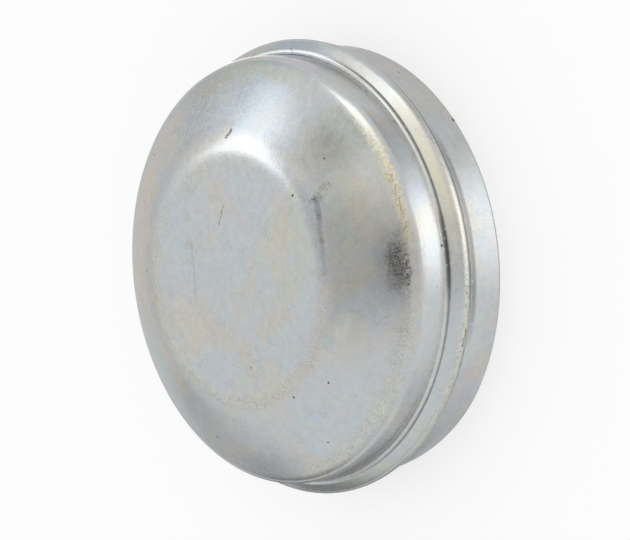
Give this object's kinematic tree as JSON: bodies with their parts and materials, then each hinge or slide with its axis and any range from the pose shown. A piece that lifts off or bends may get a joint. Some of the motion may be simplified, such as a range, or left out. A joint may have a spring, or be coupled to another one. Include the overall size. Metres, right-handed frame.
{
  "type": "hub grease cap",
  "caption": "Round pressed-steel hub cap with a flat top, sloped shoulder, swaged stop bead and open press-fit skirt; closes a wheel hub's end and keeps its bearing grease in.",
  "frame": {"origin": "centre of the open rim, on the plane that the cap rests on", "axes": "+Z along the cap's axis, from the open rim to the flat top; X and Y are alike"},
  "size_m": [0.0794, 0.0794, 0.0259],
  "materials": {
    "zinc_plate": "pressed sheet steel, bright zinc plate with a clear passivate, satin, lightly worn"
  },
  "bodies": {
    "root": {"grease_cap": "zinc_plate"}
  },
  "joints": []
}
